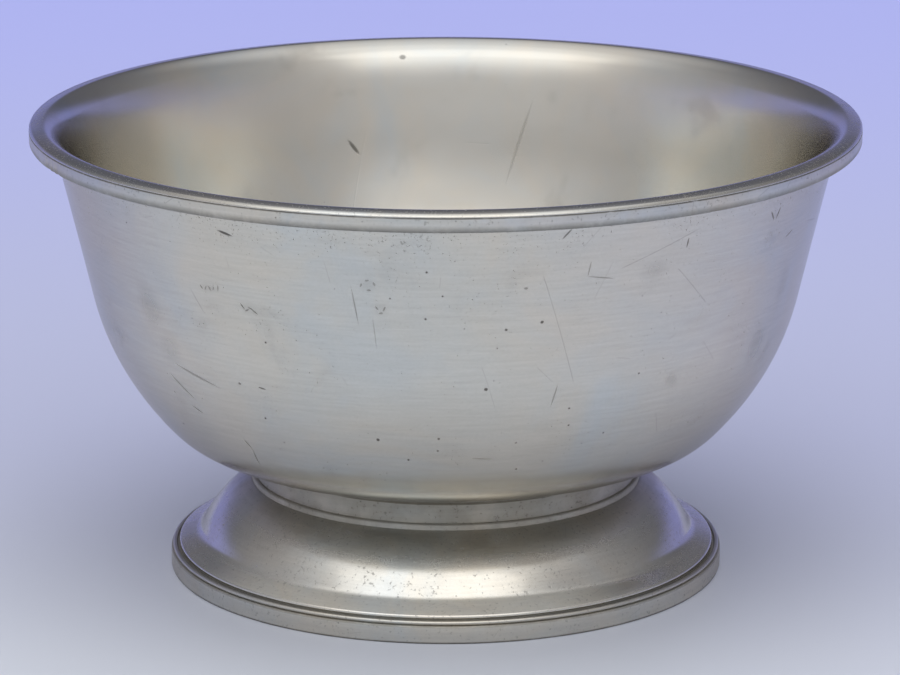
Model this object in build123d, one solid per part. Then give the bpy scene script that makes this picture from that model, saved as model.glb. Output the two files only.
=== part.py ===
from build123d import *
import math
import os

# A footed pewter bowl, soldered up from turned pieces. Millimetres, +Z up, Z is the turning axis,
# and the origin is the centre of the circle on which the foot stands.

# Bowl: overall sizes and the sheet it is spun from
RIM_DIAMETER = 152.4
HEIGHT = 84.8
BOWL_SHEET = 1.2

# Bowl: outside curves, from the lip down to the underside
LIP_EDGE_RADIUS = 1.0
LIP_LAND = 0.2
FLARE_RADIUS = 4.6
WALL_LEAN = 13.2
BELLY_HEIGHT = 29.2
BELLY_RADIUS = 51.8
CORNER_RADIUS = 16.9

# Strip under the lip
RIM_BAND_HEIGHT = 2.7
RIM_BAND_THICKNESS = 1.2
RIM_BAND_EDGE_RADIUS = 0.8
SEAM_ROUND = 0.12

# Base ring
FOOT_DIAMETER = 102.8
BASE_BAND_HEIGHT = 3.3
BASE_EDGE_RADIUS = 0.3
BASE_BEAD_RADIUS = 0.425
BASE_BEAD_INSET = 0.3
BASE_LEDGE = 1.4

# Domed foot
FOOT_SHEET = 1.6
DOME_CREST_HEIGHT = 16.85
DOME_CREST_DIAMETER = 68.7
DOME_SHOULDER_RADIUS = 4.0
DOME_SHOULDER_TURN = 62.4
DOME_RADIUS = 22.0
DOME_OPENING_DIAMETER = 62.0
FLANGE_SLOPE = 20.0
FLANGE_FILLET = 3.0
FLANGE_EDGE_HEIGHT = 0.82
FLANGE_EDGE_INSET = 1.5
FLANGE_NOSE_RADIUS = 0.55
FLANGE_UNDER_ROUND = 0.15

# Collar between foot and bowl
COLLAR_HEIGHT = 6.65
COLLAR_DIAMETER = 71.0
COLLAR_THICKNESS = 2.4
COLLAR_WAIST = 0.35
COLLAR_BEAD_RADIUS = 0.45
COLLAR_BEAD_PROUD = 0.7

# Legs of the solder fillets
NECK_SOLDER_LEG = 2.6
FOOT_SOLDER_LEG = 1.3
RIM_SOLDER_LEG = 1.2

# Two ends closer than this are the same point
SAME_POINT = 1e-6


def point_on(centre, radius, angle):
    """The point of a circle in the section plane, as (radius from the axis, height)."""
    turn = math.radians(angle)
    return centre[0] + radius * math.cos(turn), centre[1] + radius * math.sin(turn)


def in_space(point):
    """A section point as a point of the XZ plane."""
    return point[0], 0, point[1]


def turned(*path):
    """A piece turned about the Z axis. Each step of its section is a corner (radius, height), or an
    arc (centre, radius, first angle, last angle); straight runs join one step to the next."""
    edges = []
    first = None
    last = None
    for step in path:
        is_arc = len(step) == 4
        start = point_on(*step[:3]) if is_arc else step
        if last is None:
            first = start
        elif math.dist(last, start) > SAME_POINT:
            edges.append(Line(in_space(last), in_space(start)))
        last = start
        if is_arc:
            centre, radius, first_angle, last_angle = step
            middle = point_on(centre, radius, (first_angle + last_angle) / 2)
            last = point_on(centre, radius, last_angle)
            edges.append(ThreePointArc(in_space(start), in_space(middle), in_space(last)))
    if math.dist(last, first) > SAME_POINT:
        edges.append(Line(in_space(last), in_space(first)))
    return revolve(make_face(edges), axis=Axis.Z)


def angle_at_radius(centre, radius, distance):
    """Angle, on the upper half of a section circle, of the point that far from the axis."""
    return math.degrees(math.acos((distance - centre[0]) / radius))


# Heights of the stacked pieces
base_top = BASE_BAND_HEIGHT + 2 * BASE_BEAD_RADIUS
bowl_bottom = DOME_CREST_HEIGHT + COLLAR_HEIGHT
lip_under = HEIGHT - BOWL_SHEET
rim_band_bottom = lip_under - RIM_BAND_HEIGHT

# Distances of the upright faces from the axis
rim_radius = RIM_DIAMETER / 2
rim_band_back = rim_radius - RIM_BAND_THICKNESS
foot_radius = FOOT_DIAMETER / 2
flange_edge = foot_radius - FLANGE_EDGE_INSET
collar_radius = COLLAR_DIAMETER / 2
collar_bore = collar_radius - COLLAR_THICKNESS
collar_middle = collar_radius - COLLAR_THICKNESS / 2

# Bowl section: the wall runs from the flare to the belly arc, the belly arc rolls into the corner
# arc, and the corner arc into the level bottom, each tangent to the next
lean = math.radians(WALL_LEAN)
flare_centre = (rim_radius - LIP_EDGE_RADIUS - LIP_LAND, HEIGHT - FLARE_RADIUS)
wall_top = point_on(flare_centre, FLARE_RADIUS - BOWL_SHEET, 180 - WALL_LEAN)
belly_top_height = bowl_bottom + BELLY_HEIGHT
belly_top = (
    wall_top[0] - (wall_top[1] - belly_top_height) * math.tan(lean),
    belly_top_height,
)
belly_centre = point_on(belly_top, BELLY_RADIUS, 180 - WALL_LEAN)
centre_distance = BELLY_RADIUS - CORNER_RADIUS
centre_drop = belly_centre[1] - bowl_bottom - CORNER_RADIUS
corner_centre = (
    belly_centre[0] + math.sqrt(centre_distance**2 - centre_drop**2),
    bowl_bottom + CORNER_RADIUS,
)
belly_end = math.degrees(math.asin(-centre_drop / centre_distance))

bowl_outside = [
    (0, bowl_bottom),
    (corner_centre, CORNER_RADIUS, -90, belly_end),
    (belly_centre, BELLY_RADIUS, belly_end, -WALL_LEAN),
    (flare_centre, FLARE_RADIUS - BOWL_SHEET, 180 - WALL_LEAN, 90),
]
bowl_inside = [
    (flare_centre, FLARE_RADIUS, 90, 180 - WALL_LEAN),
    (belly_centre, BELLY_RADIUS - BOWL_SHEET, -WALL_LEAN, belly_end),
    (corner_centre, CORNER_RADIUS - BOWL_SHEET, belly_end, -90),
    (0, bowl_bottom + BOWL_SHEET),
]
lip_edge = [
    ((rim_radius - SEAM_ROUND, lip_under + SEAM_ROUND), SEAM_ROUND, -90, 0),
    ((rim_radius - LIP_EDGE_RADIUS, HEIGHT - LIP_EDGE_RADIUS), LIP_EDGE_RADIUS, 0, 90),
]
bowl_shell = turned(*bowl_outside, *lip_edge, *bowl_inside)
bowl_body = turned(*bowl_outside, (0, lip_under))

# Strip under the lip, seated against the flare, with a rounded lower edge
rim_band = turned(
    (rim_band_back, rim_band_bottom),
    (
        (rim_radius - RIM_BAND_EDGE_RADIUS, rim_band_bottom + RIM_BAND_EDGE_RADIUS),
        RIM_BAND_EDGE_RADIUS,
        -90,
        0,
    ),
    ((rim_radius - SEAM_ROUND, lip_under - SEAM_ROUND), SEAM_ROUND, 0, 90),
    (rim_band_back, lip_under),
)
rim_band = rim_band - bowl_shell

# Solder in the corner behind the strip, up to the underside of the flare, wiped flat
rim_solder_edge = rim_band_back - RIM_SOLDER_LEG
rim_band_middle = rim_band_back + RIM_BAND_THICKNESS / 2
flare_under = FLARE_RADIUS - BOWL_SHEET
rim_solder_turn = angle_at_radius(flare_centre, flare_under, rim_solder_edge)
rim_solder_top = point_on(flare_centre, flare_under, rim_solder_turn)[1]
rim_solder_bottom = rim_solder_top - RIM_SOLDER_LEG
rim_band_solder = turned(
    (rim_solder_edge, rim_solder_top),
    (rim_band_back, rim_solder_bottom),
    (rim_band_middle, rim_solder_bottom),
    (rim_band_middle, lip_under),
    (rim_solder_edge, lip_under),
)
rim_band_solder = rim_band_solder - bowl_shell - rim_band

# Dome section: a level top, a tight shoulder, a long convex arc, a hollow flare, a narrow flange and a
# rounded nose
shoulder_centre = (DOME_CREST_DIAMETER / 2, DOME_CREST_HEIGHT - DOME_SHOULDER_RADIUS)
dome_centre = point_on(
    shoulder_centre, DOME_RADIUS - DOME_SHOULDER_RADIUS, 180 + DOME_SHOULDER_TURN
)
nose_centre = (
    flange_edge - FLANGE_NOSE_RADIUS,
    base_top + FLANGE_EDGE_HEIGHT - FLANGE_NOSE_RADIUS,
)
flange_normal = 90 - FLANGE_SLOPE
fillet_start = point_on(nose_centre, FLANGE_NOSE_RADIUS + FLANGE_FILLET, flange_normal)
along = point_on((0, 0), 1, 180 - FLANGE_SLOPE)
away = (fillet_start[0] - dome_centre[0], fillet_start[1] - dome_centre[1])
away_along = away[0] * along[0] + away[1] * along[1]
away_square = away[0] ** 2 + away[1] ** 2
fillet_reach = DOME_RADIUS + FLANGE_FILLET
slide = -away_along - math.sqrt(away_along**2 - away_square + fillet_reach**2)
fillet_centre = (fillet_start[0] + slide * along[0], fillet_start[1] + slide * along[1])
dome_end = math.degrees(
    math.atan2(fillet_centre[1] - dome_centre[1], fillet_centre[0] - dome_centre[0])
)
dome_inner_radius = DOME_RADIUS - FOOT_SHEET
shoulder_inner_radius = DOME_SHOULDER_RADIUS - FOOT_SHEET
opening_radius = DOME_OPENING_DIAMETER / 2
dome_inner_end = math.degrees(math.asin((base_top - dome_centre[1]) / dome_inner_radius))
dome_inner_foot = point_on(dome_centre, dome_inner_radius, dome_inner_end)[0]

dome_outside = [
    (shoulder_centre, DOME_SHOULDER_RADIUS, 90, DOME_SHOULDER_TURN),
    (dome_centre, DOME_RADIUS, DOME_SHOULDER_TURN, dome_end),
    (fillet_centre, FLANGE_FILLET, 180 + dome_end, 180 + flange_normal),
    (nose_centre, FLANGE_NOSE_RADIUS, flange_normal, 0),
    (
        (flange_edge - FLANGE_UNDER_ROUND, base_top + FLANGE_UNDER_ROUND),
        FLANGE_UNDER_ROUND,
        0,
        -90,
    ),
]
foot_dome = turned(
    (opening_radius, DOME_CREST_HEIGHT),
    *dome_outside,
    (dome_centre, dome_inner_radius, dome_inner_end, DOME_SHOULDER_TURN),
    (shoulder_centre, shoulder_inner_radius, DOME_SHOULDER_TURN, 90),
    (opening_radius, DOME_CREST_HEIGHT - FOOT_SHEET),
)
dome_body = turned((0, DOME_CREST_HEIGHT), *dome_outside, (0, base_top))

# Base ring: a plain band with a small bead on top, and a groove between the bead and the dome's edge
base_bore = dome_inner_foot + BASE_LEDGE
base_bead_centre = (
    foot_radius - BASE_BEAD_INSET - BASE_BEAD_RADIUS,
    BASE_BAND_HEIGHT + BASE_BEAD_RADIUS,
)
band_face = foot_radius - BASE_EDGE_RADIUS
foot_base_ring = turned(
    (base_bore, 0),
    ((band_face, BASE_EDGE_RADIUS), BASE_EDGE_RADIUS, -90, 0),
    ((band_face, BASE_BAND_HEIGHT - BASE_EDGE_RADIUS), BASE_EDGE_RADIUS, 0, 90),
    (base_bead_centre, BASE_BEAD_RADIUS, -90, 180),
    (flange_edge, base_bead_centre[1]),
    (flange_edge, base_top),
    (base_bore, base_top),
)

# Solder in the corner between the dome's underside and the base ring's bore, wiped flat
base_ring_solder = turned(
    (base_bore - FOOT_SOLDER_LEG, base_top),
    (base_bore, base_top - FOOT_SOLDER_LEG),
    (base_bore, base_top),
)

# Collar: a bead that stands on the dome's shoulder, a shallow cove and a plain top that meets the bowl
bead_distance = collar_radius + COLLAR_BEAD_PROUD - COLLAR_BEAD_RADIUS
bead_seat = angle_at_radius(shoulder_centre, DOME_SHOULDER_RADIUS, bead_distance)
bead_bottom = point_on(shoulder_centre, DOME_SHOULDER_RADIUS, bead_seat)[1]
bead_centre = (bead_distance, bead_bottom + COLLAR_BEAD_RADIUS)
cove_bottom = bead_bottom + 2 * COLLAR_BEAD_RADIUS
cove_top = bowl_bottom - NECK_SOLDER_LEG
cove_half = (cove_top - cove_bottom) / 2
cove_radius = (cove_half**2 + COLLAR_WAIST**2) / (2 * COLLAR_WAIST)
cove_turn = math.degrees(math.asin(cove_half / cove_radius))
cove_centre = (
    collar_radius - COLLAR_WAIST + cove_radius,
    (cove_bottom + cove_top) / 2,
)
collar_low = bead_bottom - FOOT_SHEET
collar_high = bowl_bottom + CORNER_RADIUS
foot_collar = turned(
    (collar_bore, collar_low),
    (bead_distance, collar_low),
    (bead_centre, COLLAR_BEAD_RADIUS, -90, 90),
    (cove_centre, cove_radius, 180 + cove_turn, 180 - cove_turn),
    (collar_radius, collar_high),
    (collar_bore, collar_high),
)
foot_collar = foot_collar - dome_body - bowl_body

# Solder fillet in the neck, between the collar and the bowl's underside
neck_reach = collar_radius + NECK_SOLDER_LEG
bowl_to_collar_solder = turned(
    (collar_middle, cove_top),
    ((neck_reach, cove_top), NECK_SOLDER_LEG, 180, 90),
    (neck_reach, collar_high),
    (collar_middle, collar_high),
)
bowl_to_collar_solder = bowl_to_collar_solder - foot_collar - bowl_body

# Solder inside the foot, between the collar's bore and the dome's level top
ledge_edge = collar_bore - FOOT_SOLDER_LEG
ledge_solder_top = DOME_CREST_HEIGHT + FOOT_SOLDER_LEG
collar_to_dome_solder = turned(
    ((ledge_edge, ledge_solder_top), FOOT_SOLDER_LEG, 0, -90),
    (ledge_edge, collar_low),
    (collar_middle, collar_low),
    (collar_middle, ledge_solder_top),
)
collar_to_dome_solder = collar_to_dome_solder - foot_collar - dome_body

pieces = {
    "bowl_shell": bowl_shell,
    "rim_band": rim_band,
    "rim_band_solder": rim_band_solder,
    "foot_collar": foot_collar,
    "bowl_to_collar_solder": bowl_to_collar_solder,
    "foot_dome": foot_dome,
    "collar_to_dome_solder": collar_to_dome_solder,
    "foot_base_ring": foot_base_ring,
    "base_ring_solder": base_ring_solder,
}
os.makedirs("parts", exist_ok=True)
for name, piece in pieces.items():
    export_step(piece, f"parts/{name}.step")
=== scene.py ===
import math

import bpy
import numpy as np
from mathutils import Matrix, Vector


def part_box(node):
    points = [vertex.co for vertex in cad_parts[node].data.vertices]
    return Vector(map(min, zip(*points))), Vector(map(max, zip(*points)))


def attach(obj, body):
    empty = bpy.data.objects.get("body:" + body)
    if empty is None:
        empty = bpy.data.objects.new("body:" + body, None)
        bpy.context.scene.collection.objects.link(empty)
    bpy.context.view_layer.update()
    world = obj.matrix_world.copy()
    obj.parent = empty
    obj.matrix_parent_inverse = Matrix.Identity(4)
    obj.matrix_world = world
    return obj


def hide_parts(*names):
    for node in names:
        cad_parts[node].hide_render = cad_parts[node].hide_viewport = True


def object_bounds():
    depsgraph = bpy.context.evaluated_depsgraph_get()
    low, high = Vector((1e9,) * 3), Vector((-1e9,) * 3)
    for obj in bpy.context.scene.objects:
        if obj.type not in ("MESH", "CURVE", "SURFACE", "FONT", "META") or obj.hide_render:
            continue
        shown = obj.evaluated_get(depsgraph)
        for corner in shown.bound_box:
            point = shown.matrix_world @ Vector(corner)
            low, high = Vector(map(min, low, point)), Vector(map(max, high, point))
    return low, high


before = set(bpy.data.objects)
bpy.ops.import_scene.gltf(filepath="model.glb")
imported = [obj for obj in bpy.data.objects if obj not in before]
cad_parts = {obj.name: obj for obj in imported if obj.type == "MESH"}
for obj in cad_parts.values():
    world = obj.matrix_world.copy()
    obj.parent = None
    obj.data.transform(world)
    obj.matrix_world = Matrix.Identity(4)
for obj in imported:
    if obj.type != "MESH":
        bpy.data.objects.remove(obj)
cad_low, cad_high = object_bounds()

# A footed pewter bowl on a pale floor. Metres; heights are from the floor, radii from the turning axis,
# and turns are measured round the axis from the front of the bowl, positive to the right.

MM = 0.001

# Bowl: sheet and outside curves
BOWL_SHEET = 1.2 * MM
LIP_BEVEL_RADIUS = 0.9 * MM
LIP_BEVEL_STEEP = 15.0
LIP_BEVEL_FLAT = 62.0
LIP_SLOPE = 6.0
LIP_TOP_RADIUS = 1.6 * MM
LIP_TOP_TURN = 115.0
FLARE_INSET = 1.2 * MM
FLARE_RADIUS = 4.6 * MM
WALL_LEAN = 13.2
BELLY_HEIGHT = 29.2 * MM
BELLY_RADIUS = 51.8 * MM
CORNER_RADIUS = 16.9 * MM

# Strip under the lip
STRIP_THICKNESS = 1.2 * MM
STRIP_EDGE_RADIUS = 0.8 * MM
SEAM_ROUND = 0.12 * MM

# Base ring
BASE_BAND_HEIGHT = 3.3 * MM
BASE_EDGE_RADIUS = 0.3 * MM
BASE_BEAD_RADIUS = 0.425 * MM
BASE_BEAD_INSET = 0.3 * MM
BASE_LEDGE = 1.4 * MM

# Domed foot
FOOT_SHEET = 1.6 * MM
DOME_CREST_RADIUS = 34.35 * MM
DOME_SHOULDER_RADIUS = 4.0 * MM
DOME_SHOULDER_TURN = 62.4
DOME_RADIUS = 22.0 * MM
DOME_OPENING_RADIUS = 31.0 * MM
FLANGE_SLOPE = 20.0
FLANGE_FILLET = 3.0 * MM
FLANGE_EDGE_HEIGHT = 0.82 * MM
FLANGE_NOSE_RADIUS = 0.55 * MM
FLANGE_UNDER_ROUND = 0.15 * MM

# Collar between foot and bowl
COLLAR_RADIUS = 35.5 * MM
COLLAR_THICKNESS = 2.4 * MM
COLLAR_WAIST = 0.35 * MM
COLLAR_BEAD_RADIUS = 0.45 * MM
COLLAR_BEAD_PROUD = 0.7 * MM

# Legs of the solder seams
NECK_SOLDER_LEG = 2.6 * MM
FOOT_SOLDER_LEG = 1.3 * MM
STRIP_SOLDER_LEG = 1.2 * MM

# How finely sections and circles are divided
CHORD_ERROR = 0.004 * MM
LONGEST_RUN = 2.2 * MM
FEWEST_ARC_STEPS = 5
SAME_POINT = 1e-8
TURN_STEPS = 512
STRIP_TURN_STEPS = 1440
CREASE_ANGLE = 40.0

# Heights and radii that the frame gives
rim_radius = min(cad_high.x, cad_high.y)
height = cad_high.z
bowl_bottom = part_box("bowl_shell")[0].z
strip_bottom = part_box("rim_band")[0].z
lip_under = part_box("rim_band")[1].z
foot_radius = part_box("foot_base_ring")[1].x
base_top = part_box("foot_base_ring")[1].z
flange_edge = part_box("foot_dome")[1].x
dome_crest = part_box("foot_dome")[1].z


def point_on(centre, radius, angle):
    """The point of a section circle at an angle, in degrees, as (radius from the axis, height)."""
    turn = math.radians(angle)
    return centre[0] + radius * math.cos(turn), centre[1] + radius * math.sin(turn)


def arc(centre, radius, first, last):
    """Points along a section circle, spaced so that a chord strays from it by CHORD_ERROR at most."""
    step = 2 * math.degrees(math.acos(1 - min(CHORD_ERROR / radius, 0.5)))
    count = max(FEWEST_ARC_STEPS, math.ceil(abs(last - first) / step))
    turn = np.radians(np.linspace(first, last, count + 1))
    return np.stack([centre[0] + radius * np.cos(turn), centre[1] + radius * np.sin(turn)], 1)


def corner(radius, level):
    """One corner of a section."""
    return np.array([[radius, level]])


def section(*parts, closed=True):
    """One section path through arcs and corners. Straight runs between them are divided evenly, so that
    a flat keeps its own normals up to its ends."""
    points = np.concatenate(parts)
    if closed:
        points = np.concatenate([points, points[:1]])
    gaps = np.linalg.norm(np.diff(points, axis=0), axis=1)
    kept = np.concatenate([[True], gaps > SAME_POINT])
    points = points[kept]
    gaps = np.linalg.norm(np.diff(points, axis=0), axis=1)
    pieces = np.maximum(1, np.ceil(gaps / LONGEST_RUN)).astype(int)
    start = np.repeat(np.arange(len(gaps)), pieces)
    share = (np.arange(pieces.sum()) - np.repeat(np.cumsum(pieces) - pieces, pieces)) / pieces[start]
    path = points[start] + share[:, None] * (points[start + 1] - points[start])
    return path if closed else np.concatenate([path, points[-1:]])


def turned(name, path, shift=None, steps=TURN_STEPS, closed=True):
    """A piece turned about the axis: the section point (r, h) at turn t lies at
    ((r + shift) sin t, -(r + shift) cos t, h), where shift(r, h, t) is a small unevenness of the radius.
    A closed section makes a ring; an open one starts and ends on the axis, where a fan closes it."""
    turn = np.linspace(0, 2 * math.pi, steps, endpoint=False)
    radius, level = path[:, :1], path[:, 1:]
    if shift is not None:
        radius = radius + shift(radius, level, turn)
    radius, level = np.broadcast_arrays(radius, level + 0 * turn)
    grid = np.stack([radius * np.sin(turn), -radius * np.cos(turn), level], 2)
    rows = len(path)
    index = np.arange(rows * steps).reshape(rows, steps)
    if not closed:
        index[0] = index[0, 0]
        index[-1] = index[-1, 0]
    low = index if closed else index[:-1]
    high = np.roll(index, -1, axis=0) if closed else index[1:]
    quads = np.stack([low, np.roll(low, -1, axis=1), np.roll(high, -1, axis=1), high], 2).reshape(-1, 4)
    used, quads = np.unique(quads, return_inverse=True)
    quads = quads.reshape(-1, 4)
    distinct = quads != np.roll(quads, -1, axis=1)
    sides = distinct.sum(1)
    mesh = bpy.data.meshes.new(name)
    mesh.vertices.add(len(used))
    mesh.vertices.foreach_set("co", grid.reshape(-1, 3)[used].ravel())
    mesh.loops.add(int(sides.sum()))
    mesh.loops.foreach_set("vertex_index", quads[distinct])
    mesh.polygons.add(len(quads))
    mesh.polygons.foreach_set("loop_start", np.cumsum(sides) - sides)
    mesh.polygons.foreach_set("use_smooth", np.ones(len(quads), bool))
    mesh.update(calc_edges=True)
    mesh.set_sharp_from_angle(angle=math.radians(CREASE_ANGLE))
    piece = bpy.data.objects.new(name, mesh)
    bpy.context.scene.collection.objects.link(piece)
    return piece, used // steps


def stands_for(piece, node, finish):
    """The piece shows in place of a CAD node, rides with the part and takes that slot's finish."""
    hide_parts(node)
    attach(piece, "root")
    piece.data.materials.append(finish)


# Bowl section: wall, belly arc, corner arc and level bottom, each tangent to the next
flare_centre = (rim_radius - FLARE_INSET, height - FLARE_RADIUS)
flare_under = FLARE_RADIUS - BOWL_SHEET
wall_top = point_on(flare_centre, flare_under, 180 - WALL_LEAN)
belly_top_level = bowl_bottom + BELLY_HEIGHT
belly_top = (
    wall_top[0] - (wall_top[1] - belly_top_level) * math.tan(math.radians(WALL_LEAN)),
    belly_top_level,
)
belly_centre = point_on(belly_top, BELLY_RADIUS, 180 - WALL_LEAN)
centre_distance = BELLY_RADIUS - CORNER_RADIUS
centre_drop = belly_centre[1] - bowl_bottom - CORNER_RADIUS
corner_centre = (
    belly_centre[0] + math.sqrt(centre_distance**2 - centre_drop**2),
    bowl_bottom + CORNER_RADIUS,
)
belly_end = math.degrees(math.asin(-centre_drop / centre_distance))


# Hand work on the bowl's wall: how deep it is, and how far from lip and axis it is at its full depth
HAND_WAVE = 0.03 * MM
WAVE_FROM_LIP = 20 * MM
WAVE_FROM_AXIS = 45 * MM


def hand_work(radius, level, turn):
    """Slow unevenness that burnishing by hand leaves in a spun wall: three waves round the bowl whose
    phase drifts with height, fading out towards the lip and towards the axis."""
    fade = np.clip((lip_under - level) / WAVE_FROM_LIP, 0, 1)
    fade = fade * np.clip(radius / WAVE_FROM_AXIS, 0, 1) ** 2
    waves = (
        np.cos(5 * turn + level / (9 * MM))
        + 0.8 * np.cos(9 * turn - level / (6 * MM) + 1.3)
        + 0.6 * np.cos(14 * turn + level / (5 * MM) + 4.1)
    )
    return HAND_WAVE * fade * waves


def smooth_step(value, low, high):
    """0 up to low and 1 from high on, with a smooth S between them."""
    share = np.clip((value - low) / (high - low), 0, 1)
    return share * share * (3 - 2 * share)


# How much more the inside wall leans than the outside, as a slope: at the lip, half way up, at the belly
LEAN_AT_LIP = 0.17
LEAN_HALF_WAY = -0.03
LEAN_AT_BELLY = 0.09


def inside_wall(path, top):
    """The inside isn't quite parallel to the outside. It stands a little steeper half way up, leans out
    more towards the lip, where it runs into the flare, and more towards the belly. Its slope is added up
    from the lip down, in millimetres below the flare, and what comes of it is taken off the radius; the
    belly takes it up again."""
    below = np.linspace(-3, 60, 1261)
    near_lip = 1 - smooth_step(below, 0.0, 4.4)
    near_belly = smooth_step(below, 14, 28)
    lean = LEAN_AT_LIP * near_lip + LEAN_AT_BELLY * near_belly + LEAN_HALF_WAY
    slope = lean * smooth_step(below, -2.4, 0.2)
    thicker = np.cumsum(slope) * (below[1] - below[0]) * (1 - smooth_step(below, 30, 48))
    start = flare_centre[1] + FLARE_RADIUS * math.sin(math.radians(WALL_LEAN))
    inward = np.interp((start - path[:, 1]) / MM, below, thicker) * MM
    return np.stack([path[:, 0] - np.where(np.arange(len(path)) > top, inward, 0), path[:, 1]], 1)


def lip_edge():
    """The lip's worn edge, from the seam up: a softened corner, a rounded bevel, a slight slope that runs
    on from it and a rounded top that runs into the flare."""
    seam_top = lip_under + SEAM_ROUND
    steep = point_on((0, 0), LIP_BEVEL_RADIUS, LIP_BEVEL_STEEP)
    bevel_centre = (rim_radius - steep[0], seam_top - steep[1])
    top_centre = point_on(flare_centre, FLARE_RADIUS - LIP_TOP_RADIUS, LIP_TOP_TURN)
    return np.concatenate([
        arc((rim_radius - SEAM_ROUND, seam_top), SEAM_ROUND, -90, 0),
        arc(bevel_centre, LIP_BEVEL_RADIUS, LIP_BEVEL_STEEP, LIP_BEVEL_FLAT),
        arc(top_centre, LIP_TOP_RADIUS, 90 - LIP_SLOPE, LIP_TOP_TURN),
    ])


def make_bowl(finish):
    """The spun bowl: outside up to the lip, over its rounded edge and down the inside."""
    path = section(
        corner(0, bowl_bottom),
        arc(corner_centre, CORNER_RADIUS, -90, belly_end),
        arc(belly_centre, BELLY_RADIUS, belly_end, -WALL_LEAN),
        arc(flare_centre, flare_under, 180 - WALL_LEAN, 90),
        lip_edge(),
        arc(flare_centre, FLARE_RADIUS, LIP_TOP_TURN, 180 - WALL_LEAN),
        arc(belly_centre, BELLY_RADIUS - BOWL_SHEET, -WALL_LEAN, belly_end),
        arc(corner_centre, CORNER_RADIUS - BOWL_SHEET, belly_end, -90),
        corner(0, bowl_bottom + BOWL_SHEET),
        closed=False,
    )
    top = int(np.argmax(path[:, 1]))
    bowl, rows = turned("spun_bowl", inside_wall(path, top), hand_work, closed=False)
    inside = bowl.data.attributes.new("inside", "FLOAT", "POINT")
    inside.data.foreach_set("value", (rows > top).astype(np.float32))
    stands_for(bowl, "bowl_shell", finish)


# Small knocks on the strip: turn in degrees, height above the strip's lower edge, width, depth
STRIP_KNOCKS = [
    (-68.2, 0.5 * MM, 0.9 * MM, 0.30 * MM),
    (-66.4, 0.3 * MM, 0.7 * MM, 0.35 * MM),
    (-64.6, 0.2 * MM, 0.8 * MM, 0.35 * MM),
    (-27.0, 0.1 * MM, 0.6 * MM, 0.18 * MM),
    (21.5, 2.4 * MM, 0.6 * MM, 0.15 * MM),
    (34.0, 2.2 * MM, 0.8 * MM, 0.22 * MM),
    (37.5, 0.2 * MM, 0.6 * MM, 0.20 * MM),
    (118.0, 0.3 * MM, 0.9 * MM, 0.28 * MM),
    (167.0, 0.4 * MM, 0.7 * MM, 0.25 * MM),
    (236.0, 2.3 * MM, 0.8 * MM, 0.20 * MM),
]


def strip_wear(radius, level, turn):
    """Knocks in the strip's face: round dents, each a Gaussian of the distance along and across it."""
    dents = np.zeros(np.broadcast_shapes(radius.shape, turn.shape))
    face = np.clip((radius - (rim_radius - STRIP_THICKNESS)) / STRIP_THICKNESS, 0, 1)
    for at, above, width, depth in STRIP_KNOCKS:
        around = (turn - math.radians(at) + math.pi) % (2 * math.pi) - math.pi
        across = level - strip_bottom - above
        dents = dents - depth * np.exp(-((around * rim_radius) ** 2 + across**2) / width**2) * face
    return dents


def make_strip(finish):
    """The strip under the lip: a flat face with a rounded lower edge and a softened seam above."""
    back = rim_radius - STRIP_THICKNESS
    edge_centre = (rim_radius - STRIP_EDGE_RADIUS, strip_bottom + STRIP_EDGE_RADIUS)
    path = section(
        corner(back, strip_bottom),
        arc(edge_centre, STRIP_EDGE_RADIUS, -90, 0),
        arc((rim_radius - SEAM_ROUND, lip_under - SEAM_ROUND), SEAM_ROUND, 0, 90),
        corner(back, lip_under),
    )
    strip, _ = turned("lip_strip", path, strip_wear, STRIP_TURN_STEPS)
    stands_for(strip, "rim_band", finish)


def make_strip_solder(finish):
    """The solder behind the strip, wiped flat between its back and the underside of the flare."""
    back = rim_radius - STRIP_THICKNESS
    edge = back - STRIP_SOLDER_LEG
    edge_turn = math.degrees(math.acos((edge - flare_centre[0]) / flare_under))
    edge_level = point_on(flare_centre, flare_under, edge_turn)[1]
    path = section(
        corner(back, edge_level - STRIP_SOLDER_LEG),
        arc(flare_centre, flare_under, 90, edge_turn),
    )
    solder, _ = turned("strip_solder", path)
    stands_for(solder, "rim_band_solder", finish)


# Dome section: level top, tight shoulder, long convex arc, hollow flare, narrow flange and rounded nose
shoulder_centre = (DOME_CREST_RADIUS, dome_crest - DOME_SHOULDER_RADIUS)
dome_centre = point_on(shoulder_centre, DOME_RADIUS - DOME_SHOULDER_RADIUS, 180 + DOME_SHOULDER_TURN)
dome_inner_radius = DOME_RADIUS - FOOT_SHEET
nose_centre = (
    flange_edge - FLANGE_NOSE_RADIUS,
    base_top + FLANGE_EDGE_HEIGHT - FLANGE_NOSE_RADIUS,
)
flange_normal = 90 - FLANGE_SLOPE


def flange_fillet_centre():
    """Where a circle of the fillet's radius touches both the dome's arc and the flange's slope."""
    start = point_on(nose_centre, FLANGE_NOSE_RADIUS + FLANGE_FILLET, flange_normal)
    along = point_on((0, 0), 1, 180 - FLANGE_SLOPE)
    away = (start[0] - dome_centre[0], start[1] - dome_centre[1])
    away_along = away[0] * along[0] + away[1] * along[1]
    reach = DOME_RADIUS + FLANGE_FILLET
    slide = -away_along - math.sqrt(away_along**2 - away[0] ** 2 - away[1] ** 2 + reach**2)
    return start[0] + slide * along[0], start[1] + slide * along[1]


fillet_centre = flange_fillet_centre()
dome_end = math.degrees(math.atan2(fillet_centre[1] - dome_centre[1], fillet_centre[0] - dome_centre[0]))
dome_inner_end = math.degrees(math.asin((base_top - dome_centre[1]) / dome_inner_radius))
dome_inner_foot = point_on(dome_centre, dome_inner_radius, dome_inner_end)[0]
base_bore = dome_inner_foot + BASE_LEDGE


DOME_WAVE = 0.02 * MM


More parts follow.
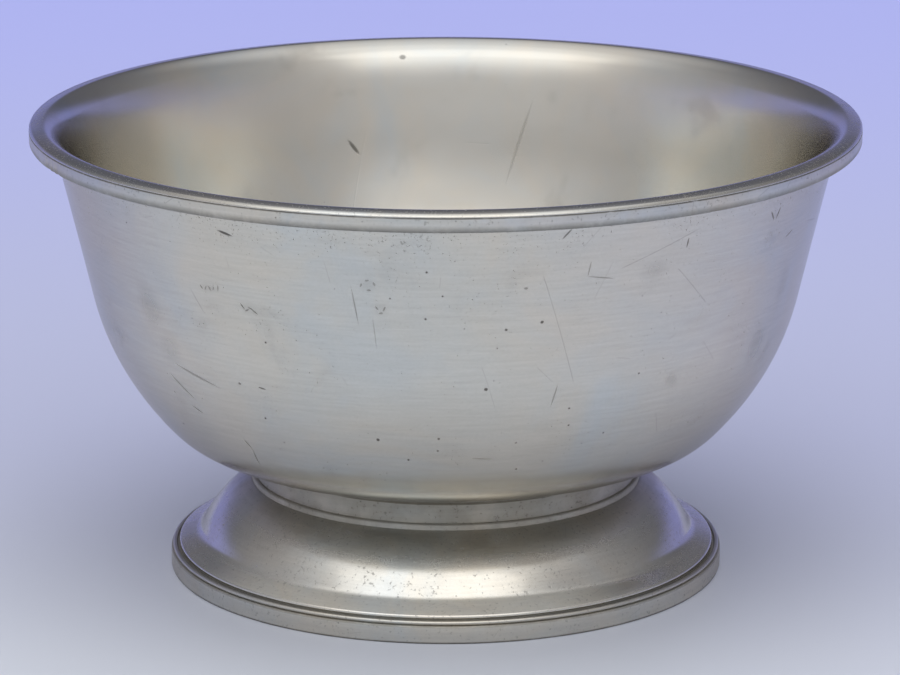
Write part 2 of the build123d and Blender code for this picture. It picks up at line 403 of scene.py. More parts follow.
def dome_waves(radius, level, turn):
    """Faint waves that the burnisher left round the dome, strongest half way down its side."""
    side = np.clip((dome_crest - level) / (dome_crest - base_top), 0, 1)
    fade = 4 * side * (1 - side)
    waves = np.cos(7 * turn + 60 * side / 9) + 0.7 * np.cos(11 * turn - 40 * side / 9 + 2.0)
    return -DOME_WAVE * fade * (1 + waves)


def make_dome(finish):
    """The hollow domed foot: outside from its opening down to the rounded nose, and back up inside."""
    under = (flange_edge - FLANGE_UNDER_ROUND, base_top + FLANGE_UNDER_ROUND)
    outside = np.concatenate([
        corner(DOME_OPENING_RADIUS, dome_crest),
        arc(shoulder_centre, DOME_SHOULDER_RADIUS, 90, DOME_SHOULDER_TURN),
        arc(dome_centre, DOME_RADIUS, DOME_SHOULDER_TURN, dome_end),
        arc(fillet_centre, FLANGE_FILLET, 180 + dome_end, 180 + flange_normal),
        arc(nose_centre, FLANGE_NOSE_RADIUS, flange_normal, 0),
        arc(under, FLANGE_UNDER_ROUND, 0, -90),
    ])
    inside = np.concatenate([
        arc(dome_centre, dome_inner_radius, dome_inner_end, DOME_SHOULDER_TURN),
        arc(shoulder_centre, DOME_SHOULDER_RADIUS - FOOT_SHEET, DOME_SHOULDER_TURN, 90),
        corner(DOME_OPENING_RADIUS, dome_crest - FOOT_SHEET),
    ])
    path = section(np.concatenate([outside, inside])[::-1])
    dome, _ = turned("domed_foot", path, dome_waves)
    stands_for(dome, "foot_dome", finish)


def make_base_ring(finish):
    """The base ring: a plain band with softened edges, a small bead on top and a groove inside it."""
    face = foot_radius - BASE_EDGE_RADIUS
    bead = (foot_radius - BASE_BEAD_INSET - BASE_BEAD_RADIUS, BASE_BAND_HEIGHT + BASE_BEAD_RADIUS)
    path = section(
        corner(base_bore, 0),
        arc((face, BASE_EDGE_RADIUS), BASE_EDGE_RADIUS, -90, 0),
        arc((face, BASE_BAND_HEIGHT - BASE_EDGE_RADIUS), BASE_EDGE_RADIUS, 0, 90),
        arc(bead, BASE_BEAD_RADIUS, -90, 180),
        corner(flange_edge, bead[1]),
        corner(flange_edge, base_top),
        corner(base_bore, base_top),
    )
    ring, _ = turned("base_ring", path)
    stands_for(ring, "foot_base_ring", finish)


def make_base_solder(finish):
    """The solder inside the foot, wiped flat between the dome and the base ring's bore."""
    path = section(
        corner(base_bore - FOOT_SOLDER_LEG, base_top),
        corner(base_bore, base_top - FOOT_SOLDER_LEG),
        corner(base_bore, base_top),
    )
    solder, _ = turned("base_solder", path)
    stands_for(solder, "base_ring_solder", finish)


# Collar: a bead that stands on the dome's shoulder, a shallow cove and a plain top that meets the bowl
collar_bore = COLLAR_RADIUS - COLLAR_THICKNESS
bead_distance = COLLAR_RADIUS + COLLAR_BEAD_PROUD - COLLAR_BEAD_RADIUS
bead_seat = math.degrees(math.acos((bead_distance - shoulder_centre[0]) / DOME_SHOULDER_RADIUS))
bead_bottom = point_on(shoulder_centre, DOME_SHOULDER_RADIUS, bead_seat)[1]
cove_bottom = bead_bottom + 2 * COLLAR_BEAD_RADIUS
cove_top = bowl_bottom - NECK_SOLDER_LEG
cove_half = (cove_top - cove_bottom) / 2
cove_radius = (cove_half**2 + COLLAR_WAIST**2) / (2 * COLLAR_WAIST)
cove_turn = math.degrees(math.asin(cove_half / cove_radius))


def make_collar(finish):
    """The collar: its foot follows the dome, then a bead filled below, a cove and a plain top."""
    cove_centre = (COLLAR_RADIUS - COLLAR_WAIST + cove_radius, (cove_bottom + cove_top) / 2)
    bead_edge = bead_distance + COLLAR_BEAD_RADIUS
    foot_turn = math.degrees(math.acos((bead_edge - shoulder_centre[0]) / DOME_SHOULDER_RADIUS))
    path = section(
        corner(collar_bore, dome_crest),
        arc(shoulder_centre, DOME_SHOULDER_RADIUS, 90, foot_turn),
        arc((bead_distance, bead_bottom + COLLAR_BEAD_RADIUS), COLLAR_BEAD_RADIUS, 0, 90),
        arc(cove_centre, cove_radius, 180 + cove_turn, 180 - cove_turn),
        corner(COLLAR_RADIUS, bowl_bottom),
        corner(collar_bore, bowl_bottom),
    )
    collar, _ = turned("foot_neck_collar", path)
    stands_for(collar, "foot_collar", finish)


def make_neck_solder(finish):
    """The hollow fillet of solder in the neck, between the collar and the bowl's underside."""
    path = section(
        arc((COLLAR_RADIUS + NECK_SOLDER_LEG, cove_top), NECK_SOLDER_LEG, 180, 90),
        corner(COLLAR_RADIUS, bowl_bottom),
    )
    solder, _ = turned("neck_solder", path)
    stands_for(solder, "bowl_to_collar_solder", finish)


def make_dome_solder(finish):
    """The hollow fillet of solder inside the foot, between collar bore and the dome's level top."""
    path = section(
        corner(collar_bore, dome_crest),
        arc((collar_bore - FOOT_SOLDER_LEG, dome_crest + FOOT_SOLDER_LEG), FOOT_SOLDER_LEG, 0, -90),
    )
    solder, _ = turned("dome_solder", path)
    stands_for(solder, "collar_to_dome_solder", finish)


class Wire:
    """One output of a node. Arithmetic on wires adds Math nodes."""

    def __init__(self, tree, socket):
        self.tree = tree
        self.socket = socket

    def beside(self, name):
        """Another output of the same node."""
        return Wire(self.tree, self.socket.node.outputs[name])

    def __add__(self, other):
        return self.tree.maths("ADD", self, other)

    def __radd__(self, other):
        return self.tree.maths("ADD", other, self)

    def __sub__(self, other):
        return self.tree.maths("SUBTRACT", self, other)

    def __rsub__(self, other):
        return self.tree.maths("SUBTRACT", other, self)

    def __mul__(self, other):
        return self.tree.maths("MULTIPLY", self, other)

    def __rmul__(self, other):
        return self.tree.maths("MULTIPLY", other, self)

    def __truediv__(self, other):
        return self.tree.maths("DIVIDE", self, other)

    def __pow__(self, other):
        return self.tree.maths("POWER", self, other)


class Shading:
    """The node tree of a material or the world, written as expressions."""

    def __init__(self, owner):
        owner.use_nodes = True
        self.tree = owner.node_tree
        self.tree.nodes.clear()

    def node(self, kind, settings, sockets, output=0):
        """Adds a node of that kind, sets its settings, then each socket's value or link."""
        made = self.tree.nodes.new(kind)
        for name, value in settings.items():
            setattr(made, name, value)
        for name, value in sockets.items():
            if isinstance(value, Wire):
                self.tree.links.new(value.socket, made.inputs[name])
            else:
                made.inputs[name].default_value = value
        return Wire(self, made.outputs[output]) if made.outputs else made

    def maths(self, operation, *values):
        return self.node("ShaderNodeMath", {"operation": operation}, dict(enumerate(values)))

    def vector(self, x, y, z):
        return self.node("ShaderNodeCombineXYZ", {}, {"X": x, "Y": y, "Z": z})

    def apart(self, vector):
        """The three parts of a vector."""
        x = self.node("ShaderNodeSeparateXYZ", {}, {0: vector})
        return x, x.beside("Y"), x.beside("Z")

    def scaled(self, vector, by):
        return self.node("ShaderNodeVectorMath", {"operation": "SCALE"}, {0: vector, "Scale": by})

    def ease(self, value, low, high, first=0.0, last=1.0):
        """A smooth step of a value: first below low, last above high."""
        sockets = {"Value": value, "From Min": low, "From Max": high, "To Min": first, "To Max": last}
        return self.node("ShaderNodeMapRange", {"interpolation_type": "SMOOTHSTEP"}, sockets)

    def noise(self, vector, scale, detail=3.0, rough=0.5, warp=0.0):
        sockets = {
            "Vector": vector,
            "Scale": scale,
            "Detail": detail,
            "Roughness": rough,
            "Distortion": warp,
        }
        return self.node("ShaderNodeTexNoise", {"noise_dimensions": "3D"}, sockets)

    def mix(self, share, first, second, blend="MIX"):
        """Two colours mixed; share is a wire or a number."""
        settings = {"data_type": "RGBA", "blend_type": blend}
        return self.node("ShaderNodeMix", settings, {0: share, 6: first, 7: second}, output=2)

    def grey(self, value):
        """A value as a grey colour."""
        return self.node("ShaderNodeCombineColor", {}, {"Red": value, "Green": value, "Blue": value})


# Marks that years of use left on the bowl: turn in degrees and height, then length and width, the slant
# of the length from level in degrees, and how dark the mark is
OUTSIDE_MARKS = {
    "dash_under_strip": (-32.3, 77.1, 3.6, 0.65, -14, 1.0),
    "short_dash": (-30.0, 48.2, 2.0, 0.40, -9, 0.9),
    "dot_left_of_dash": (-34.2, 48.4, 0.8, 0.60, 0, 0.8),
    "hooked_hair_top": (-37.4, 35.2, 3.0, 0.40, -63, 0.8),
    "hooked_hair_foot": (-37.4, 32.4, 4.4, 0.40, 75, 0.8),
    "upright_scratch": (-13.1, 66.0, 8.6, 0.35, -83, 0.5),
    "upright_scratch_beside": (-10.4, 61.0, 7.0, 0.30, -86, 0.3),
    "pit_below_middle": (6.2, 50.5, 0.9, 0.80, 0, 1.0),
    "pit_right": (14.2, 62.8, 0.8, 0.70, 30, 1.0),
    "pit_right_inner": (8.9, 61.7, 0.7, 0.60, 0, 0.9),
    "pit_low_left": (-11.2, 40.0, 0.9, 0.80, 0, 1.0),
    "pit_low_middle": (-1.1, 40.6, 0.7, 0.60, 20, 0.9),
    "pit_low_middle_under": (-1.3, 38.0, 0.6, 0.50, 0, 0.8),
    "pit_high_right": (11.5, 69.3, 0.9, 0.60, 0, 0.6),
    "slash_under_strip": (16.9, 79.0, 3.0, 0.45, 50, 0.7),
    "slash_low_right": (17.1, 48.5, 5.2, 0.40, 79, 0.5),
    "tick_right": (36.5, 74.6, 2.2, 0.45, 85, 0.7),
    "fork_left_arm": (54.6, 75.6, 3.0, 0.45, -52, 0.8),
    "fork_right_arm": (56.1, 75.8, 3.0, 0.45, 68, 0.8),
    "angle_level_arm": (22.6, 70.3, 6.0, 0.35, -10, 0.5),
    "angle_upright_arm": (20.7, 72.1, 3.4, 0.35, 82, 0.5),
    "low_turning_scratch": (6.4, 36.1, 5.2, 0.30, -3, 0.6),
    "streak_upper": (-43.4, 48.0, 13.0, 0.70, -14, 0.5),
    "streak_middle": (-48.1, 44.8, 8.0, 0.60, -38, 0.5),
    "streak_lower": (-46.4, 40.6, 3.4, 0.45, -23, 0.7),
    "nick_far_right": (61.5, 70.5, 3.2, 0.45, 20, 0.6),
    "tick_left_first": (-38.4, 66.0, 1.1, 0.30, -60, 0.7),
    "tick_left_second": (-37.6, 65.9, 1.1, 0.30, 60, 0.6),
    "tick_left_third": (-36.8, 66.0, 1.2, 0.30, -68, 0.7),
    "tick_left_fourth": (-36.1, 66.1, 1.1, 0.30, 65, 0.6),
    "tick_left_fifth": (-35.2, 66.3, 1.5, 0.30, 80, 0.7),
    "curl_left_first": (-31.2, 63.6, 1.7, 0.32, -55, 0.8),
    "curl_left_second": (-30.5, 63.0, 1.3, 0.36, 30, 0.7),
    "curl_left_third": (-29.8, 63.4, 1.4, 0.36, -20, 0.7),
    "curl_left_fourth": (-29.2, 62.9, 1.7, 0.32, -35, 0.8),
    "speck_ring_left": (-12.0, 69.9, 0.9, 0.45, 70, 0.5),
    "speck_ring_top": (-11.1, 70.8, 0.9, 0.45, 20, 0.5),
    "speck_ring_right": (-10.1, 70.2, 1.0, 0.45, -70, 0.5),
    "speck_ring_foot": (-10.9, 69.0, 0.9, 0.45, 0, 0.6),
    "small_ring_left": (-9.9, 65.7, 1.0, 0.40, -60, 0.6),
    "small_ring_right": (-8.8, 65.6, 1.2, 0.40, 65, 0.6),
    "small_ring_foot": (-9.3, 64.8, 0.9, 0.45, 10, 0.6),
}
OUTSIDE_SMUDGES = {
    "left_side": (-51.5, 59.7, 9.0, 12.0, 0, 0.7),
    "left_side_lower": (-48.5, 52.0, 8.0, 10.0, 0, 0.5),
    "right_of_middle": (31.3, 70.4, 7.0, 6.0, 0, 0.5),
    "right_side": (59.3, 50.2, 9.0, 11.0, 0, 0.8),
    "right_low": (38.2, 48.4, 4.0, 5.0, 60, 0.7),
    "right_edge": (64.0, 60.3, 7.0, 12.0, 0, 0.5),
    "patch_by_upright_scratch": (-10.9, 70.1, 4.5, 4.5, 0, 0.5),
    "patch_below_it": (-9.3, 65.6, 4.0, 4.0, 0, 0.5),
    "left_ticks": (-36.9, 66.0, 6.0, 2.5, 5, 0.5),
    "left_ticks_lower": (-30.1, 63.3, 6.0, 3.5, -10, 0.5),
    "behind_left": (-128.0, 55.0, 10.0, 9.0, 0, 0.6),
    "behind_right": (141.0, 62.0, 9.0, 12.0, 30, 0.6),
}
INSIDE_MARKS = {
    "inside_gouge": (-164.1, 64.3, 4.4, 0.90, 53, 0.9),
    "inside_long_scratch": (167.5, 65.0, 20.0, 0.80, -74, 0.25),
    "stain_under_far_lip": (-173.0, 81.3, 1.6, 1.20, 0, 0.5),
}
MARK_RADIUS = 67.0


# The ring round the neck that polishing doesn't reach and that the bowl's overhang shades: its brown film
# is partly tarnish and partly painted shade
NECK = (COLLAR_RADIUS, (dome_crest + bowl_bottom) / 2)


class Pewter(Shading):
    """A pewter finish. All its patterns are in millimetres of the object's own coordinates."""

    def __init__(self, name):
        self.material = bpy.data.materials.new(name)
        super().__init__(self.material)
        place = self.node("ShaderNodeTexCoord", {}, {}, output="Object")
        self.place = self.scaled(place, 1 / MM)
        self.x, self.y, self.level = self.apart(self.place)
        self.radius = (self.x * self.x + self.y * self.y) ** 0.5
        self.turn = self.maths("ARCTAN2", self.x, self.y * -1)

    def turning_lines(self, pitch, length):
        """Fine lines round the axis: noise that changes every pitch mm along the section, and only
        slowly round the axis, so that a line is about length mm long."""
        slow = 1 / length
        across = self.level * (1 / pitch) - self.radius * (0.6 / pitch)
        across = self.vector(self.x * slow, self.y * slow, across)
        return self.noise(across, 1.0, detail=2.0, rough=0.6)

    def marks(self, table, shape):
        """The darkest of a table's marks at each point: soft ellipses in the unrolled wall."""
        wall = self.vector(self.turn * MARK_RADIUS, self.level, 0.0)
        found = None
        for turn, level, length, width, slant, dark in table.values():
            sockets = {
                "Vector": wall,
                "Location": (math.radians(turn) * MARK_RADIUS, level, 0),
                "Rotation": (0, 0, math.radians(slant)),
                "Scale": (length / 2, width / 2, 1),
            }
            local = self.node("ShaderNodeMapping", {"vector_type": "TEXTURE"}, sockets)
            ball = {"gradient_type": "SPHERICAL"}
            inner = self.node("ShaderNodeTexGradient", ball, {0: local}, output="Fac")
            mark = self.ease(inner, 0.0, shape, 0.0, dark)
            found = mark if found is None else self.maths("MAXIMUM", found, mark)
        return found

    def cells(self, vector, cell, dimensions):
        """The distance to the nearest point of a Voronoi pattern with cells of that size."""
        settings = {"voronoi_dimensions": dimensions}
        sockets = {"Vector": vector, "Scale": 1 / cell, "Randomness": 1.0}
        return self.node("ShaderNodeTexVoronoi", settings, sockets, output="Distance")

    def pits(self, cell, size, share):
        """Small round pits, one in each cell of a Voronoi pattern, for a share of the cells."""
        near = self.cells(self.place, cell, "3D")
        chance, _, _ = self.apart(near.beside("Color"))
        chosen = self.maths("GREATER_THAN", chance, 1 - share)
        return self.ease(near * cell, 0.4 * size, size, 1.0, 0.0) * chosen

    def scratches(self, cell, width, share):
        """Hairlines: one in each cell of a Voronoi pattern on the unrolled wall, through the cell's
        point at a random slant, for a share of the cells."""
        wall = self.vector(self.turn * MARK_RADIUS, self.level - self.radius * 0.7, 0.0)
        near = self.cells(wall, cell, "2D")
        chance, slant, reach = self.apart(near.beside("Color"))
        away = self.node(
            "ShaderNodeVectorMath", {"operation": "SUBTRACT"}, {0: wall, 1: near.beside("Position")}
        )
        right, up, _ = self.apart(away)
        slant = slant * math.pi
        lean = self.maths("COSINE", slant)
        rise = self.maths("SINE", slant)
        along = self.maths("ABSOLUTE", right * lean + up * rise)
        across = self.maths("ABSOLUTE", up * lean - right * rise)
        line = self.ease(across, 0.3 * width, width, 1.0, 0.0)
        ends = self.ease(along - reach * (0.45 * cell), -0.1 * cell, 0.0, 1.0, 0.0)
        return line * ends * self.maths("GREATER_THAN", chance, 1 - share)

    def groove(self, radius, level, reach):
        """How near a point of the section is to a groove: 1 in it, 0 at reach mm from it."""
        out = self.radius - radius / MM
        up = self.level - level / MM
        return self.ease((out * out + up * up) ** 0.5, 0.25 * reach, reach, 1.0, 0.0)

    def largest(self, *values):
        found = values[0]
        for value in values[1:]:
            found = self.maths("MAXIMUM", found, value)
        return found

    def finish(self, colour, roughness, relief, metallic, streak):
        """Ties the patterns to the shader. Relief is in thousandths of a millimetre."""
        height_map = {"Strength": 1.0, "Distance": 0.001 * MM, "Height": relief}
        bump = self.node("ShaderNodeBump", {}, height_map)
        sockets = {
            "Base Color": colour,
            "Metallic": metallic,
            "Roughness": roughness,
            "Specular Tint": EDGE_TINT,
            "Anisotropic": streak,
            "Anisotropic Rotation": 0.25,
            "Normal": bump,
        }
        shader = self.node("ShaderNodeBsdfPrincipled", {}, sockets)
        self.node("ShaderNodeOutputMaterial", {}, {"Surface": shader})
        return self.material


# Pewter's colours: clean metal, metal gone warm, metal gone cool, the dark of dirt in pits and grooves,
# which along some edges is painted shade, the brown film that polishing doesn't reach, which round the
# neck is partly painted shade under the bowl, and what its dull skin leaves of a mirror image at a low
# slant
CLEAN_PEWTER = (0.62, 0.605, 0.55, 1)
WARM_PEWTER = (0.65, 0.61, 0.53, 1)
COOL_PEWTER = (0.58, 0.595, 0.575, 1)
GRIME_AND_SHADE = (0.06, 0.055, 0.045, 1)
TARNISH_AND_SHADE = (0.26, 0.24, 0.19, 1)
EDGE_TINT = (0.80, 0.79, 0.79, 1)

# The haze on the foot: the turn at which it is strongest, and what it adds to the roughness and takes
# from the metal
HAZE_TURN = -8.0
HAZE_ROUGH = 0.6
HAZE_DULL = 0.45

# How much of the metal's shine the dirt and the painted shade lines take
DARK_SHARE_DULL = 0.7


def pewter_colour(look, cloud, blot, brown_share, dark_share):
    """Clean metal with warm and cool clouds, darker blots, brown film and grime, each a share. Round the
    neck the film is partly painted shade, and some grime lines are painted shade.
    """
    warm = look.mix(look.ease(cloud, 0.45, 0.68), CLEAN_PEWTER, WARM_PEWTER)
    cool = look.mix(look.ease(cloud, 0.5, 0.3), warm, COOL_PEWTER)
    dull = look.mix(1.0, cool, look.grey(1 - blot), "MULTIPLY")
    filmed_and_shaded = look.mix(brown_share, dull, TARNISH_AND_SHADE)
    return look.mix(dark_share, filmed_and_shaded, GRIME_AND_SHADE)


def bowl_finish():
    """Satin outside with turning lines, clouds, specks, pits and scratches; smoother inside."""
    look = Pewter("bowl_pewter")
    inside = look.node("ShaderNodeAttribute", {"attribute_name": "inside"}, {}, output="Fac")
    outside = 1 - inside
    lines = look.turning_lines(0.42, 9.0)
    cloud = look.noise(look.place, 0.035, detail=4.0, rough=0.6, warp=0.7)
    patch = look.noise(look.place, 0.09, detail=3.0, rough=0.55, warp=0.4)
    grain = look.noise(look.place, 2.2, detail=2.0, rough=0.6)
    under_strip = look.ease(look.level, 73.0, 80.0)
    crust = look.ease(grain + patch * 0.3 + under_strip * 0.08, 0.84, 0.94) * outside
    smudge = look.largest(look.marks(OUTSIDE_SMUDGES, 0.9) * outside, look.ease(patch, 0.60, 0.78) * 0.5)
    scratch = look.largest(
        look.scratches(9.0, 0.10, 0.35) * 0.5,
        look.scratches(23.0, 0.16, 0.40) * 0.8,
    )
    named = look.marks(OUTSIDE_MARKS, 0.55) * outside + look.marks(INSIDE_MARKS, 0.6) * inside
    pit = look.largest(look.pits(3.1, 0.28, 0.16) * outside, look.pits(1.7, 0.16, 0.12) * 0.5)
    dark_share = look.largest(named * 0.85, pit * 0.8, crust * 0.30, scratch * outside * 0.18)
    streaks = (lines - 0.5) * 0.22 + (grain - 0.5) * 0.14
    blot = smudge * 0.16 + streaks * outside + (patch - 0.5) * 0.10
    # brown film round the neck: partly tarnish, partly painted shade on the belly's underside under the
    # bowl's overhang
    brown_share = look.groove(*NECK, 17.0) * look.ease(patch, 0.2, 0.7, 0.85, 1.0) * outside
    colour = pewter_colour(look, cloud, blot, brown_share, dark_share)
    rough = 0.20 + outside * 0.02 + smudge * 0.10 + (cloud - 0.5) * 0.10
    rough = rough + crust * 0.15 + named * 0.3 + brown_share * 0.12
    roughness = look.maths("MAXIMUM", rough, 0.12)
    relief = (
        lines * (0.5 + outside * 2.0)
        + look.noise(look.place, 0.11, detail=1.0) * 30
        - scratch * 6
        - crust * 5
        - (pit + named) * 40
    )
    return look.finish(colour, roughness, relief, 1 - dark_share * DARK_SHARE_DULL, 0.35)


def plain_finish(name, rough, pitch, grooves, wear, streak, neck_film_and_shade=0.0, brown_share=0.0, hazy=None):
    """Turned pewter for the smaller pieces: lines, clouds, specks and hairlines, with a dark line along
    each groove, grime along some and painted shade along others. Grooves are (radius, height, reach in
    mm, how dark). Neck_film_and_shade and brown_share are how much brown film lies near the neck and all
    over;
    near the neck it is partly painted shade under the bowl. Hazy is the two radii between which the metal
    is hazy, most so in front."""
    look = Pewter(name)
    lines = look.turning_lines(pitch, 8.0)
    cloud = look.noise(look.place, 0.05, detail=4.0, rough=0.6, warp=0.6)
    patch = look.noise(look.place, 0.16, detail=3.0, rough=0.6, warp=0.4)
    grain = look.noise(look.place, 1.6, detail=2.0, rough=0.6)
    crust = look.ease(grain + patch * 0.3, 0.76, 0.88) * wear
    scratch = look.scratches(7.0, 0.10, 0.5) * wear
    pit = look.pits(1.9, 0.22, 0.22) * wear
    dark_share = look.largest(pit * 0.7, crust * 0.4, scratch * 0.2)
    for radius, level, reach, dark in grooves:
        ragged = look.ease(patch + grain * 0.4, 0.35, 0.75, 0.55, 1.0)
        dark_share = look.largest(dark_share, look.groove(radius, level, reach) * ragged * dark)
    blot = (patch - 0.5) * 0.16 + (lines - 0.5) * 0.20 + (grain - 0.5) * 0.12
    # near the neck the brown film is partly painted shade under the bowl
    near_neck = look.groove(*NECK, 14.0) * look.ease(patch, 0.2, 0.7, 0.85, 1.1)
    colour = pewter_colour(look, cloud, blot, look.largest(near_neck * neck_film_and_shade, brown_share), dark_share)
    metal = 1 - dark_share * DARK_SHARE_DULL
    if hazy is not None:
        first, last = hazy
        turn = math.radians(HAZE_TURN)
        facing = (look.x * math.sin(turn) - look.y * math.cos(turn)) / look.radius
        worn = look.ease(facing, 0.55, 0.95, 0.2, 1.0)
        from_dome = look.ease(look.radius, first / MM, first / MM + 1.6)
        to_edge = look.ease(look.radius, last / MM, last / MM - 0.25)
        haze = from_dome * to_edge * worn
        rough = rough + haze * HAZE_ROUGH
        metal = metal - haze * HAZE_DULL
    rough = rough + near_neck * 0.3 + (patch - 0.5) * 0.12 + dark_share * 0.35
    roughness = look.maths("MAXIMUM", rough, 0.08)
    dents = look.noise(look.place, 0.16, detail=1.0)
    relief = lines * 1.3 + dents * 14 - scratch * 5 - crust * 5 - pit * 30
    return look.finish(colour, roughness, relief, metal, streak)


def make_pieces():
    """All nine pieces with their finishes. Each groove is a dark line along a seam or an edge: dirt that
    gathers there, and painted shade along the strip's lower edge, the base band's top edge and the base's
    foot on the floor.
    """
    make_bowl(bowl_finish())
    seam = (rim_radius, lip_under, 0.30, 0.85)
    # painted shade: a dark band along the strip's rounded lower edge, which faces down into shade
    strip_lower_edge_shade = (rim_radius - 0.35 * MM, strip_bottom + 0.1 * MM, 1.5, 0.55)
    strip = plain_finish("strip_pewter", 0.30, 0.45, [seam, strip_lower_edge_shade], wear=1.0, streak=0.3)
    make_strip(strip)
    collar_groove = (bead_distance + COLLAR_BEAD_RADIUS, cove_bottom, 0.5, 0.15)
    collar = plain_finish(
        "collar_pewter", 0.36, 0.4, [collar_groove], wear=0.7, streak=0.3, neck_film_and_shade=0.4
    )
    make_collar(collar)
    dome_groove = (flange_edge + 0.2 * MM, base_top - 0.2 * MM, 0.42, 0.85)
    collar_foot = (bead_distance + COLLAR_BEAD_RADIUS, bead_bottom, 0.6, 0.25)
    flange_face = (point_on(dome_centre, DOME_RADIUS, dome_end)[0], flange_edge - 0.1 * MM)
    dome_grooves = [dome_groove, collar_foot]
    dome = plain_finish(
        "dome_pewter", 0.15, 0.5, dome_grooves, wear=0.8, streak=0.3, neck_film_and_shade=0.2, hazy=flange_face
    )
    make_dome(dome)
    # painted shade: a dark line along the band's top edge under the bead, which also hides that edge's
    # highlight
    band_top_shade = (foot_radius - 0.1 * MM, BASE_BAND_HEIGHT - 0.05 * MM, 0.42, 0.5)
    # painted contact shadow: a dark line along the ring's lowest edge, where it stands on the floor
    contact_shadow_line = (foot_radius, 0, 0.5, 0.85)
    base_grooves = [dome_groove, band_top_shade, contact_shadow_line]
    base = plain_finish("base_pewter", 0.32, 0.45, base_grooves, wear=0.8, streak=0.3, brown_share=0.12)
    make_base_ring(base)
    # the solder is browned all over: its own dull film, and at the neck also painted shade under the bowl
    solder = plain_finish("solder_pewter", 0.45, 0.7, [], wear=0.6, streak=0.0, brown_share=1.0)
    make_strip_solder(solder)
    make_neck_solder(solder)
    make_dome_solder(solder)
    make_base_solder(solder)


# Floor: pale grey at the front, pale lavender towards the back, and painted shade to the right, darker
# and bluer there
FLOOR_REACH = 12.0
FLOOR_FRONT = (0.64, 0.67, 0.725, 1)
FLOOR_MIDDLE = (0.49, 0.515, 0.68, 1)
FLOOR_BACK = (0.45, 0.48, 0.89, 1)
FLOOR_RIGHT_SHADE = (0.50, 0.52, 0.84, 1)
RIGHT_SHADE_SHARE = 0.25


def make_floor():
    """A level square sheet under the bowl, coloured by how far back and to the right a point lies."""
    mesh = bpy.data.meshes.new("floor")
    ends = np.array([[-1, -1, 0], [1, -1, 0], [1, 1, 0], [-1, 1, 0]]) * FLOOR_REACH
    mesh.from_pydata(ends.tolist(), [], [(0, 1, 2, 3)])
    floor = bpy.data.objects.new("floor", mesh)
    bpy.context.scene.collection.objects.link(floor)
    paint = bpy.data.materials.new("floor_paint")
    look = Shading(paint)
    right, back, _ = look.apart(look.node("ShaderNodeTexCoord", {}, {}, output="Object"))
    near = look.mix(look.ease(back, -0.10, 0.10), FLOOR_FRONT, FLOOR_MIDDLE)
    # painted shade: the right side darker and bluer, where the light is dimmer
    right_shaded = look.mix(look.ease(right, 0.0, 0.2) * RIGHT_SHADE_SHARE, near, FLOOR_RIGHT_SHADE)
    colour = look.mix(look.ease(back, 0.05, 0.60), right_shaded, FLOOR_BACK)
    sockets = {"Base Color": colour, "Roughness": 0.5, "Specular IOR Level": 0.2}
    shader = look.node("ShaderNodeBsdfPrincipled", {}, sockets)
    look.node("ShaderNodeOutputMaterial", {}, {"Surface": shader})
    mesh.materials.append(paint)


# Room light: a pale tent, bright high in front, less so overhead, and dim lavender low at the back
ROOM_FRONT = (0.67, 0.67, 0.70, 1)
ROOM_BACK = (0.13, 0.135, 0.17, 1)
ROOM_LOW_BACK = (0.33, 0.35, 0.76, 1)
TENT_FRONT = 0.68
TENT_ABOVE = 0.58
TENT_TO_LEFT = 0.09
ROOM_RIGHT_DIM = 0.2


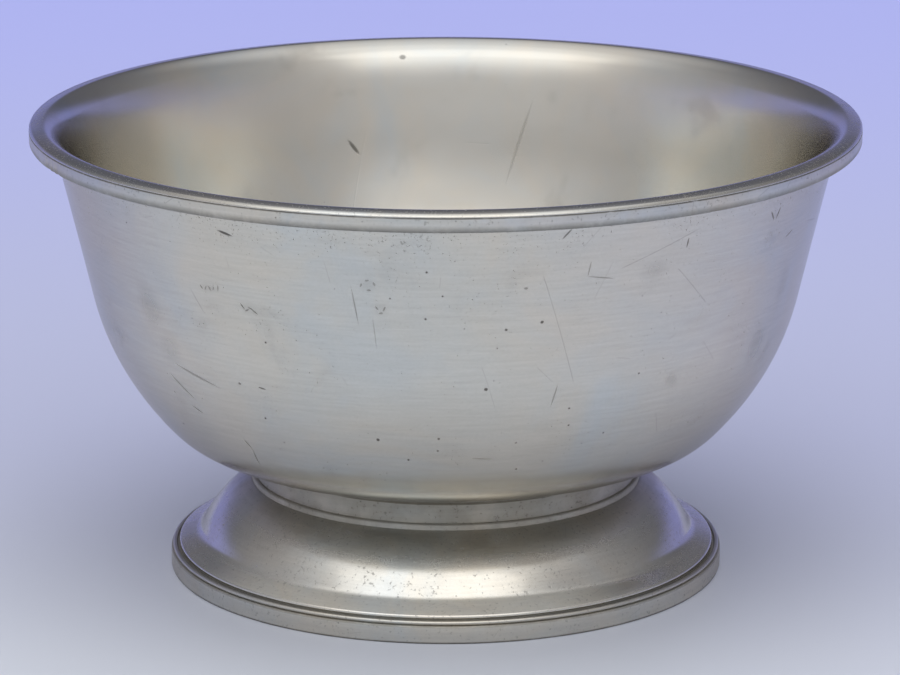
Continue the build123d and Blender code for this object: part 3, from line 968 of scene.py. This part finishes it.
def make_room():
    """The world's light as a smooth colour of direction: a low part that pales from back to front and
    is dimmer to the right, and on it the brighter of two soft patches, high in front and overhead."""
    world = bpy.data.worlds.new("studio_room")
    bpy.context.scene.world = world
    look = Shading(world)
    right, back, up = look.apart(look.node("ShaderNodeTexCoord", {}, {}, output="Generated"))
    front = back * -1
    behind = look.mix(look.ease(up, 0.12, 0.30), ROOM_LOW_BACK, ROOM_BACK)
    low = look.mix(look.ease(front, -1.1, 0.95), behind, ROOM_FRONT)
    dimmed = look.grey(1 - look.ease(right, 0.2, 1.0) * ROOM_RIGHT_DIM)
    low = look.mix(1.0, low, dimmed, "MULTIPLY")
    aside = look.maths("ABSOLUTE", right + TENT_TO_LEFT)
    ahead = look.ease(up, 0.22, 0.56) * look.ease(aside, 0.85, 0.34) * look.ease(front, -0.3, 0.3)
    above = look.ease(up, 0.6, 1.05)
    tent = look.grey(look.maths("MAXIMUM", ahead * TENT_FRONT, above * TENT_ABOVE))
    colour = look.mix(1.0, low, tent, "ADD")
    light = look.node("ShaderNodeBackground", {}, {"Color": colour, "Strength": 1.0})
    look.node("ShaderNodeOutputWorld", {}, {"Surface": light})


def make_lamp(name, aim, place, size, level, colour):
    """A soft rectangular lamp that faces a point. Level is its brightness as a mirror would show it."""
    data = bpy.data.lights.new(name, "AREA")
    data.shape = "RECTANGLE"
    data.size, data.size_y = size
    data.energy = level * math.pi * size[0] * size[1]
    data.color = colour
    lamp = bpy.data.objects.new(name, data)
    lamp.location = place
    gaze = np.subtract(aim, place)
    gaze = gaze / np.linalg.norm(gaze)
    lamp.rotation_euler = (math.acos(-gaze[2]), 0, math.atan2(gaze[1], gaze[0]) - math.pi / 2)
    bpy.context.scene.collection.objects.link(lamp)
    return lamp


# Lamps: place and size of each panel, its brightness and its colour
FRONT_PANEL = ((-0.18, -1.08, 1.12), (2.3, 0.86), 0.3, (1.0, 0.985, 0.96))
TOP_PANEL = ((0, 0.10, 1.6), (1.6, 1.6), 1.3, (1.0, 1.0, 1.0))


def make_lamps():
    """A broad soft panel high in front, a little to the left, and a soft one overhead for the floor,
    which the metal doesn't show."""
    aim = (0, 0, height / 2)
    make_lamp("front_panel", aim, *FRONT_PANEL)
    fill = make_lamp("top_panel", aim, *TOP_PANEL)
    fill.visible_glossy = False


# Camera at the photograph's angle
CAMERA_PLACE = (0.79 * MM, -834.4 * MM, 266.0 * MM)
CAMERA_PITCH = 14.99
CAMERA_LENS = 186.1


def make_camera():
    """A long lens from the front, looking a little down."""
    data = bpy.data.cameras.new("camera")
    data.sensor_width = 36
    data.lens = CAMERA_LENS
    data.clip_end = 100
    camera = bpy.data.objects.new("camera", data)
    camera.location = CAMERA_PLACE
    camera.rotation_euler = (math.radians(90 - CAMERA_PITCH), 0, 0)
    bpy.context.scene.collection.objects.link(camera)
    bpy.context.scene.camera = camera


make_camera()
make_floor()
make_room()
make_lamps()
make_pieces()
bpy.context.scene.view_settings.view_transform = "Standard"
